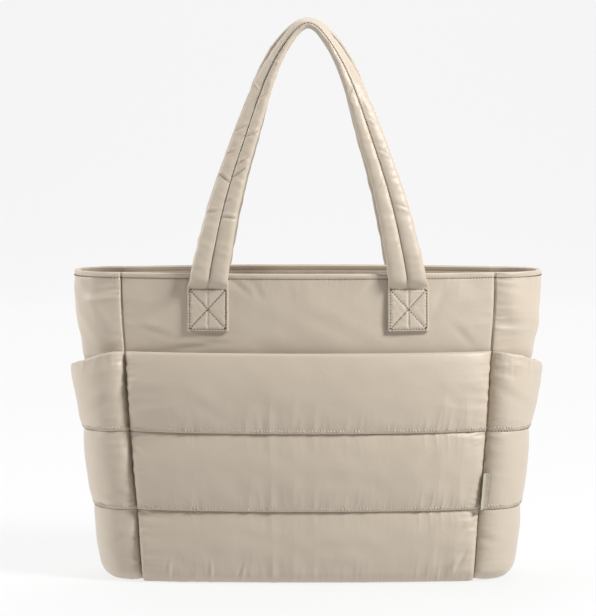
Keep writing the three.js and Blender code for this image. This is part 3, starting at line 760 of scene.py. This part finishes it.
HANDLE_HALF = 18  # half the strap's width
HANDLE_THICKNESS = 8.6
CREASE = 0.8  # half the thickness along the stitched middle
ANCHOR_SPACING = 190  # between the middles of a handle's two flat ends
ANCHOR_HALF = 19.5  # half a flat end's width
ANCHOR_LENGTH = 42
ANCHOR_THICKNESS = 3.4
ANCHOR_BELOW_RIM = 13
HANDLE_RISE = 237  # rim to the middle of the strap at its peak
STAND_OFF = 4  # the strap's back off the panel above its flat end
HANDLES_APART = 41.5  # between the middles of the two straps at their peaks
BOX_INSET = 2.2  # edge of a flat end to its stitches
BOX_HALF = ANCHOR_HALF - BOX_INSET

# The strap's middle line from a flat end to the peak: place in the table, share of the rise, share of half
# the spacing, share of the lean inwards, fold of each half in degrees, and share of the full thickness
FRONT_STRAP = np.array([
    (0, 0.020, 0.992, 0.00, 0, 0.82),
    (1, 0.060, 0.980, 0.00, 8, 1.00),
    (2, 0.150, 0.935, 0.04, 20, 1.00),
    (3, 0.290, 0.855, 0.20, 32, 0.98),
    (4, 0.430, 0.752, 0.38, 42, 0.94),
    (5, 0.570, 0.630, 0.55, 48, 0.90),
    (6, 0.690, 0.522, 0.70, 55, 0.86),
    (7, 0.800, 0.408, 0.82, 64, 0.80),
    (8, 0.885, 0.293, 0.91, 72, 0.74),
    (9, 0.945, 0.187, 0.97, 76, 0.70),
    (10, 0.985, 0.095, 1.00, 77, 0.68),
    (11, 1.000, 0.000, 1.00, 78, 0.68),
])
BACK_STRAP = FRONT_STRAP.copy()
BACK_STRAP[:, 2] = (0.992, 0.98, 0.93, 0.84, 0.735, 0.618, 0.52, 0.43, 0.333, 0.222, 0.107, 0.0)


def anchor_face(side, end, across, height, distance):
    """Points on or above a panel where a strap is sewn to it. across is in millimetres from the strap's
    middle."""
    x = end * ANCHOR_SPACING / 2 - side * across
    half = column(SECTIONS, 1, np.clip(height / BAG_HEIGHT, 0, 1)) * PANEL_HALF
    start = FRONT if side < 0 else BACK
    return off_body(start + 0.5 - side * x / (2 * half), climb_to(height), distance)


def lobes(across):
    """The strap's thickness across it: two lobes, each (1 - |2 across - 1|^2.4)^0.5, from the stitched middle
    at 0 to the edge at 1."""
    return np.sqrt(np.clip(1 - np.abs(2 * np.abs(across) - 1) ** 2.4, 0, 1))


def flat_end(side, end, across, below, upper, seed):
    """The flat end's upper or lower face. Between its stitches, a box and a cross 2.2 mm inside the edge, the
    padding swells a little. below is the distance below its top edge."""
    slope = (ANCHOR_LENGTH - 2 * BOX_INSET) / (2 * BOX_HALF)
    aside, off_middle = np.abs(across), np.abs(below - ANCHOR_LENGTH / 2)
    to_box = np.minimum(np.abs(aside - BOX_HALF), np.abs(off_middle - (ANCHOR_LENGTH / 2 - BOX_INSET)))
    to_cross = np.where(aside < BOX_HALF, np.abs(off_middle - slope * aside) / np.hypot(1, slope), 9)
    to_thread = np.minimum(np.minimum(to_box, to_cross), aside)
    puff = 0.75 * (1 - bell(to_thread, 1.2)) - 0.3 + 0.16 * ripple(across, below, 5, seed)
    edge = np.clip((ANCHOR_HALF - aside) / 1.1, 0, 1) * np.clip((ANCHOR_LENGTH - below) / 1.1 + 0.15, 0, 1)
    thickness = ANCHOR_THICKNESS / 2 * (1 + upper * np.sqrt(1 - (1 - edge) ** 2))
    lift = SEAM_GAP + thickness + puff * edge * (upper > 0)
    return anchor_face(side, end, across, BAG_HEIGHT - ANCHOR_BELOW_RIM - below, lift)


def strap(name, side, table, seed, creases):
    """A handle from one flat end over the peak to the other. Each ring is the strap's section: two padded
    lobes, bent back about the stitched middle and squeezed together. The lobes bulge over the top of each
    flat end."""
    anchor_top = BAG_HEIGHT - ANCHOR_BELOW_RIM
    rise = BAG_HEIGHT + HANDLE_RISE - anchor_top
    rim_share = 0.5 - ANCHOR_SPACING / (4 * PANEL_HALF)
    panel_depth = abs(outline(np.array(rim_share), np.array(float(BAG_HEIGHT)))[1])
    root_depth = panel_depth + STAND_OFF + HANDLE_THICKNESS / 2
    legs = np.vstack([table, table[-2::-1]])
    keys = np.arange(len(legs), dtype=float)
    end = np.where(keys <= len(table) - 1, side, -side)
    middle = np.column_stack([
        keys, end * legs[:, 2] * ANCHOR_SPACING / 2,
        side * (root_depth + (HANDLES_APART / 2 - root_depth) * legs[:, 3]),
        anchor_top + rise * legs[:, 1], legs[:, 4], legs[:, 5]])
    fine = np.linspace(0, keys[-1], 3000)
    run = run_along(np.column_stack([column(middle, number, fine) for number in (1, 2, 3)]))
    free_length = run[-1]
    steps = np.linspace(0, free_length, int(free_length / 1.3))
    t = np.interp(steps, run, fine)
    centre = np.column_stack([column(middle, number, t) for number in (1, 2, 3)])
    fold, plump = (column(middle, number, t)[:, None] for number in (4, 5))
    tangent = unit(np.gradient(centre, axis=0))
    away = np.array([0.0, side, 0.0])
    outward = unit(away - tangent * (tangent @ away)[:, None])
    sideways = np.cross(tangent, outward)
    half_shares = spaced(24, 0.6)
    shares = np.concatenate([-half_shares[:0:-1], half_shares])
    around = np.concatenate([shares, shares[-2:0:-1]])[None, :]
    face = np.concatenate([np.ones(len(shares)), -np.ones(len(shares) - 2)])[None, :]
    lobe = lobes(around)

    # A fold is shared between a bend and a squeeze of each half. The strap also turns about its middle, so
    # one half bends back 1.8 times as far and the other comes forward 0.7 times as far.
    bend = fold * (0.28 + 0.45 * smooth(45, 78, fold))
    bend = np.radians(np.minimum(bend * np.where(around > 0, -0.7, 1.8), fold))
    squeeze = np.cos(np.radians(fold)) / np.cos(bend)
    full = HANDLE_THICKNESS * plump / 2 * (1 + 0.3 * (1 - squeeze))
    length_at = steps[:, None] + 0 * around
    width_at = HANDLE_HALF * around + 0 * steps[:, None]
    fine_creases = 0.2 * ripple(width_at, length_at, 8, seed, lean=QUARTER_TURN, spread=0.4)
    long_waves = 0.4 * ripple(width_at, length_at, 23, seed + 1, lean=QUARTER_TURN, spread=0.5)
    folds = 0
    for at, lobe_side, slant, depth, width in creases:
        line = length_at - at * free_length - slant * np.abs(width_at)
        ridge = bell(line, width) - 0.7 * bell(line - 1.9 * width, 1.1 * width)
        folds = folds - 1.9 * depth * ridge * (np.sign(width_at) == lobe_side)
    relief = (fine_creases + long_waves + folds) * (0.35 + 0.65 * (face > 0))
    relief = np.maximum(relief, -0.4 * full) * lobe**2
    thickness = face * (full * lobe + CREASE * (1 - np.abs(around)) * (1 - lobe) + relief)
    turn = bend * smooth(0, 0.12, np.abs(around))
    edge_wave = 1 + 0.02 * ripple(9 * np.sign(width_at), length_at, 17, seed + 2)
    reach = HANDLE_HALF * squeeze * np.abs(around) * edge_wave
    out_sideways = np.maximum(reach * np.cos(turn) + thickness * np.sin(turn), 0.25 * np.minimum(1, reach))
    forward = thickness * np.cos(turn) - reach * np.sin(turn)
    free = (centre[:, None] + sideways[:, None] * (np.sign(around) * out_sideways)[..., None]
            + outward[:, None] * forward[..., None])
    below = np.linspace(ANCHOR_LENGTH - 0.5, 0, 46)[:, None]
    rings = [
        flat_end(side, end_side, ANCHOR_HALF * around * order, below, face, seed + 3)
        for end_side, order in ((side, 1), (-side, -1))
    ]
    overhang = 2.6 * (lobe * (face > 0))[..., None]
    for ring, from_end, way in ((rings[0], steps, tangent[0]), (rings[1], free_length - steps, -tangent[-1])):
        from_end = from_end[:, None, None]
        flat = ring[-1][None] + way * from_end
        mixed = flat + (free - flat) * smooth(0, 4.5, from_end) - way * overhang * bell(from_end - 3.2, 2.6)
        free = np.where(from_end < 40, mixed, free)
    grid = np.concatenate([rings[0], free[1:-1], rings[1][::-1]])
    uv = np.stack(np.meshgrid(around * HANDLE_HALF, run_along(grid[:, 0])), axis=-1).reshape(-1, 2) / 1000
    piece = capped_tube(name, grid, np.vstack([uv, uv[0], uv[-1]]))
    stitched = grid[len(below) + 2 : -len(below) - 2, len(shares) // 2]
    return piece, stitched, outward[3:-3]


# Where a strap has creased: share of its free length, lobe, slant, depth and width in millimetres
FRONT_CREASES = (
    (0.117, 1, 0.05, 0.8, 1.3), (0.185, 1, 1.1, 0.8, 1.2), (0.205, 1, 1.2, 0.5, 1.0),
    (0.262, 1, 0.55, 0.9, 1.3), (0.14, 1, 0.9, 0.4, 1.0), (0.33, 1, 0.9, 0.4, 1.2),
    (0.128, -1, -0.35, 0.6, 1.2), (0.178, -1, 0.5, 0.9, 1.2), (0.24, -1, -0.6, 0.4, 1.3),
    (0.285, -1, -0.7, 0.5, 1.4), (0.35, -1, 0.4, 0.4, 1.3), (0.395, 1, 0.3, 0.4, 1.4),
    (0.64, 1, 0.4, 0.4, 1.4), (0.7, -1, 0.6, 0.45, 1.5), (0.76, -1, 0.6, 0.5, 1.4),
    (0.815, 1, 0.4, 0.35, 1.4), (0.86, -1, 0.5, 0.4, 1.4), (0.93, 1, 0.3, 0.3, 1.5),
)
BACK_CREASES = (
    (0.2, 1, 0.3, 0.6, 2.4), (0.31, -1, 0.3, 0.6, 2.4), (0.7, 1, 0.3, 0.6, 2.4), (0.82, -1, 0.2, 0.5, 2.4),
)
strap_lines = []
for name, side, table, seed, creases in (
    ("handle_front", -1, FRONT_STRAP, 211, FRONT_CREASES),
    ("handle_back", 1, BACK_STRAP, 223, BACK_CREASES),
):
    handle, stitched_line, line_normal = strap(name + "_strap", side, table, seed, creases)
    strap_lines.append((stitched_line, line_normal))
    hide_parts(name)
    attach(handle, "root")


# Tag. A short piece of woven tape folded in two, its ends caught in the right front seam. It is left bare,
# and lies on the end pocket's cloth.

TAG_BOTTOM = 70
TAG_HEIGHT = 35
TAG_WIDTH = 8
TAPE_WALL = 0.4
TAPE_APART = 0.8  # from the middle of one layer to that of the other
TAG_LIFT = 1.8  # the tape's middle above the pocket's cloth at its fold
SEAM_LIFT = 11  # and how much more at the seam, whose groove it bridges
TAG_LOOP = 140  # cloth to one unit of the loop at the tag
tape = woven_cloth("woven_tape", "#BAB19F", "#B1A896", 0.75, 0.0008, 0.5)
tag_height = np.linspace(TAG_BOTTOM, TAG_BOTTOM + TAG_HEIGHT, 30)
right_face = side_faces["side_pocket_right"]


def between(rows, at):
    """Rows of an array at places between its own, each on a straight line from one row to the next."""
    low = np.floor(at).astype(int)
    part = (at - low).reshape(-1, *[1] * (rows.ndim - 1))
    return rows[low] * (1 - part) + rows[low + 1] * part


tag_strip = between(right_face, np.interp(climb_to(tag_height), side_climbs, np.arange(len(side_climbs))))
tag_run = run_along(tag_strip, 1)

# The tape's path: out along the upper layer, round the fold and back along the lower one, as across and lift
tag_turn = np.linspace(QUARTER_TURN, -QUARTER_TURN, 11)[1:-1]
tag_out = np.linspace(0.4, TAG_WIDTH - TAPE_APART / 2, 12)
tag_path = np.concatenate([
    np.column_stack([tag_out, np.full(12, TAPE_APART / 2)]),
    np.column_stack([tag_out[-1] + TAPE_APART / 2 * np.cos(tag_turn), TAPE_APART / 2 * np.sin(tag_turn)]),
    np.column_stack([tag_out[::-1], np.full(12, -TAPE_APART / 2)]),
])
tag_way = unit(np.gradient(tag_path, axis=0))
tag_side = np.column_stack([-tag_way[:, 1], tag_way[:, 0]])


def tape_face(offset):
    """The folded tape's outer or inner face, a distance off its path."""
    across, lift = (tag_path + tag_side * offset).T
    at = np.interp(across, tag_run, np.arange(len(tag_run)))
    cloth = between(tag_strip.swapaxes(0, 1), at).swapaxes(0, 1)
    normal = body_normal(RIGHT + across[None, :] / TAG_LOOP, climb_to(tag_height)[:, None])
    bridge = SEAM_LIFT * np.exp(-tag_path[:, 0] / 3)
    return cloth + normal * (TAG_LIFT + bridge + lift)[None, :, None]


tag = cloth_piece("seam_tag_tape", tape_face(TAPE_WALL / 2), tape_face(-TAPE_WALL / 2),
                  np.arange(len(tag_height)), tape)
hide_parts("seam_tag")
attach(tag, "root")


# Stitches. Polyester thread in a lockstitch every 2.9 mm, which lies on the cloth as a row of short plump
# dashes.
# Its colour, darker than the cloth, is partly painted shade: it stands in for the shadow of the needle holes
# and of the groove that the stitches lie in.

STITCH_PITCH = 2.9
STITCH_LENGTH = 1.4
THREAD_RADIUS = 0.6
# The thread's dark colour is partly painted shade, for the needle holes and the stitched grooves
thread = woven_cloth("thread_darkened_for_painted_shade", "#5D5145", "#54493D", 0.6, 0.0006, 0.4)


def stitch_row(line, normal, lift=0.1, slant=0.0, uneven=0.0):
    """Places of stitches along a line of points: middles, directions and normals at even spacing. slant turns
    each stitch out of the line, about the normal, and uneven is how much the slants and lifts vary."""
    run = run_along(line)
    at = np.arange(STITCH_PITCH / 2, run[-1], STITCH_PITCH)
    half = STITCH_LENGTH / 2
    place, ahead, behind, out = (
        np.column_stack([np.interp(lengths, run, values[:, axis]) for axis in range(3)])
        for values, lengths in ((line, at), (line, at + half), (line, at - half), (normal, at))
    )
    out = unit(out)
    way = unit(ahead - behind)
    slants = (slant + uneven * ripple(at, 0, 9, 251))[:, None]
    lifts = (lift + uneven * ripple(at, 0, 16, 252))[:, None]
    return place + out * lifts, way * np.cos(slants) + np.cross(out, way) * np.sin(slants), out


def sew(name, rows, material, length=STITCH_LENGTH, radius=THREAD_RADIUS):
    """One mesh of stitches, each a six-sided capsule of four rings: the ends at 0.35 of the middle's
    radius."""
    middle, way, out = (np.concatenate(part) for part in zip(*rows))
    side = unit(np.cross(way, out))
    out = np.cross(side, way)
    turn = np.arange(6) * np.pi / 3
    rings = np.array([(-0.5, 0.35), (-0.3, 1.0), (0.3, 1.0), (0.5, 0.35)])
    along = np.repeat(rings[:, 0], 6) * length
    across = np.outer(rings[:, 1], np.cos(turn)).ravel() * radius
    up = np.outer(rings[:, 1], np.sin(turn)).ravel() * radius
    shape = ((way, along), (side, across), (out, up))
    points = middle[:, None] + sum(axis[:, None] * part[None, :, None] for axis, part in shape)
    ring = np.arange(24).reshape(4, 6)[:, [0, 1, 2, 3, 4, 5, 0]]
    shift = (np.arange(len(middle)) * 24)[:, None, None]
    quads = (strip(ring[1:], ring[:-1])[None] + shift).reshape(-1, 4)
    caps = (np.array([[0, 1, 2, 3, 4, 5], [23, 22, 21, 20, 19, 18]])[None] + shift).reshape(-1, 6)
    uv = np.tile(np.column_stack([along, across]) / 1000, (len(middle), 1))
    piece = mesh_object(name, points.reshape(-1, 3), [quads, caps], uv, material)
    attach(piece, "root")
    return piece


rim_rows = [stitch_row(line, normal, 0.25) for line, normal in hem_lines]
sew("rim_stitches", rim_rows, thread)

# Along the quilting each stitch also pulls a tiny slanted pleat into the cloth just above it
quilt_rows, pleat_rows = [], []
for face, start, climbs in (
    (front_pocket_face, FRONT, front_pocket_climbs),
    (side_faces["side_pocket_right"], RIGHT, side_climbs),
    (side_faces["side_pocket_left"], LEFT, side_climbs),
):
    along = start + np.linspace(0, 1, face.shape[1])
    for mark in (LOWER_QUILT, UPPER_QUILT):
        row = np.abs(climbs - climb_to(mark)).argmin()
        normal = body_normal(along, np.full(face.shape[1], climb_to(mark)))
        quilt_rows.append(stitch_row(face[row], normal, 0.1))
        above = unit(np.cross(np.gradient(face[row + 3], axis=0), face[row + 5] - face[row + 1]))
        pleat_rows.append(stitch_row(face[row + 3], above, -0.25, -0.9, 0.3))
sew("quilting_stitches", quilt_rows, thread)
sew("quilting_pleats", pleat_rows, satin_nylon, 5.0, 0.8)

strap_rows = [stitch_row(line, normal, 0.6) for line, normal in strap_lines]
box_path = np.array([(-1, 0), (1, 0), (1, 1), (-1, 1), (-1, 0), (1, 1), (1, 0), (-1, 1)], float)
box_line = between(box_path, np.linspace(0, len(box_path) - 1.001, 700))
box_across = box_line[:, 0] * BOX_HALF
box_below = BOX_INSET + box_line[:, 1] * (ANCHOR_LENGTH - 2 * BOX_INSET)
for side, seed in ((-1, 211), (1, 223)):
    away = np.tile([0.0, float(side), 0.0], (len(box_across), 1))
    for end in (-1, 1):
        strap_rows.append(stitch_row(flat_end(side, end, box_across, box_below, 1.0, seed + 3), away))
sew("strap_stitches", strap_rows, thread, radius=0.62)


# Studio. A pale floor that curves up behind the bag, a soft light from the right front and above, dimmer ones
# from the left and overhead, and one for the backdrop. The camera stands 3 m off, a little above the bag.

# White acrylic lit from behind as well as in front, as on a light table, so that shadows on it are faint
acrylic = bpy.data.materials.new("backlit_white_acrylic")
acrylic.use_nodes = True
tree = acrylic.node_tree
tree.nodes.clear()
shader = node(tree, "ShaderNodeBsdfPrincipled", {
    "Base Color": linear("#656565"), "Roughness": 0.9, "IOR": 1.49, "Emission Color": (1, 1, 1, 1),
    "Emission Strength": 0.76})
node(tree, "ShaderNodeOutputMaterial", {"Surface": shader.outputs["BSDF"]})

SWEEP_SIDE = 6000
SWEEP_FRONT = -5000
SWEEP_START = 2600  # where it starts to curve up
SWEEP_RADIUS = 1200
SWEEP_TOP = 5000
sweep_turn = np.linspace(0, QUARTER_TURN, 24)
sweep_y = SWEEP_START + SWEEP_RADIUS * np.sin(sweep_turn)
sweep_y = np.concatenate([[SWEEP_FRONT], sweep_y, [SWEEP_START + SWEEP_RADIUS]])
sweep_z = np.concatenate([[0], SWEEP_RADIUS * (1 - np.cos(sweep_turn)), [SWEEP_TOP]])
sweep = np.array([[(x, y, z) for x in (-SWEEP_SIDE, SWEEP_SIDE)] for y, z in zip(sweep_y, sweep_z)])
sweep_numbers = np.arange(sweep.size // 3).reshape(len(sweep), 2)
sweep_points = sweep.reshape(-1, 3)
floor = mesh_object("acrylic_floor", sweep_points, [strip(sweep_numbers[:-1], sweep_numbers[1:])],
                    sweep_points[:, :2] / 1000, acrylic)

world = bpy.data.worlds.new("studio")
world.use_nodes = True
background = world.node_tree.nodes["Background"]
background.inputs["Color"].default_value = (1, 1, 1, 1)
background.inputs["Strength"].default_value = 0.05
bpy.context.scene.world = world

# Each light: name, place and aim in metres, size in metres, power in watts
LIGHTS = (
    ("key", (1.5, -0.86, 1.6), (0, 0, 0.26), 0.6, 54),
    ("top", (0.0, 0.0, 2.3), (0, 0, 0.1), 1.5, 6),
    ("left_edge", (-1.7, 0.0, 0.9), (0, 0, 0.25), 0.8, 21),
    ("backdrop", (0, 2.0, 3.2), (0, 3.6, 0.6), 2.4, 75),
)


def aim(thing, place, target):
    """Turns a light or camera from its place towards a target."""
    way = np.array(target, float) - np.array(place, float)
    flat = np.hypot(way[0], way[1])
    tilt, heading = np.arctan2(way[2], flat), np.arctan2(way[1], way[0])
    thing.location = place
    thing.rotation_euler = (QUARTER_TURN + tilt, 0, heading - QUARTER_TURN)


for name, place, target, size, power in LIGHTS:
    lamp = bpy.data.lights.new(name, "AREA")
    lamp.size = size
    lamp.energy = power
    light = bpy.data.objects.new(name, lamp)
    bpy.context.collection.objects.link(light)
    aim(light, place, target)

CAMERA_PLACE = (-0.0096, -3.0, 0.552)
CAMERA_AIM = (-0.0096, 0, 0.258)
lens = bpy.data.cameras.new("camera")
lens.sensor_width = 36
lens.lens = 181.75  # millimetres, fitted to the photograph's perspective
lens.clip_end = 50
camera = bpy.data.objects.new("camera", lens)
bpy.context.collection.objects.link(camera)
aim(camera, CAMERA_PLACE, CAMERA_AIM)
bpy.context.scene.camera = camera
bpy.context.scene.view_settings.view_transform = "Standard"
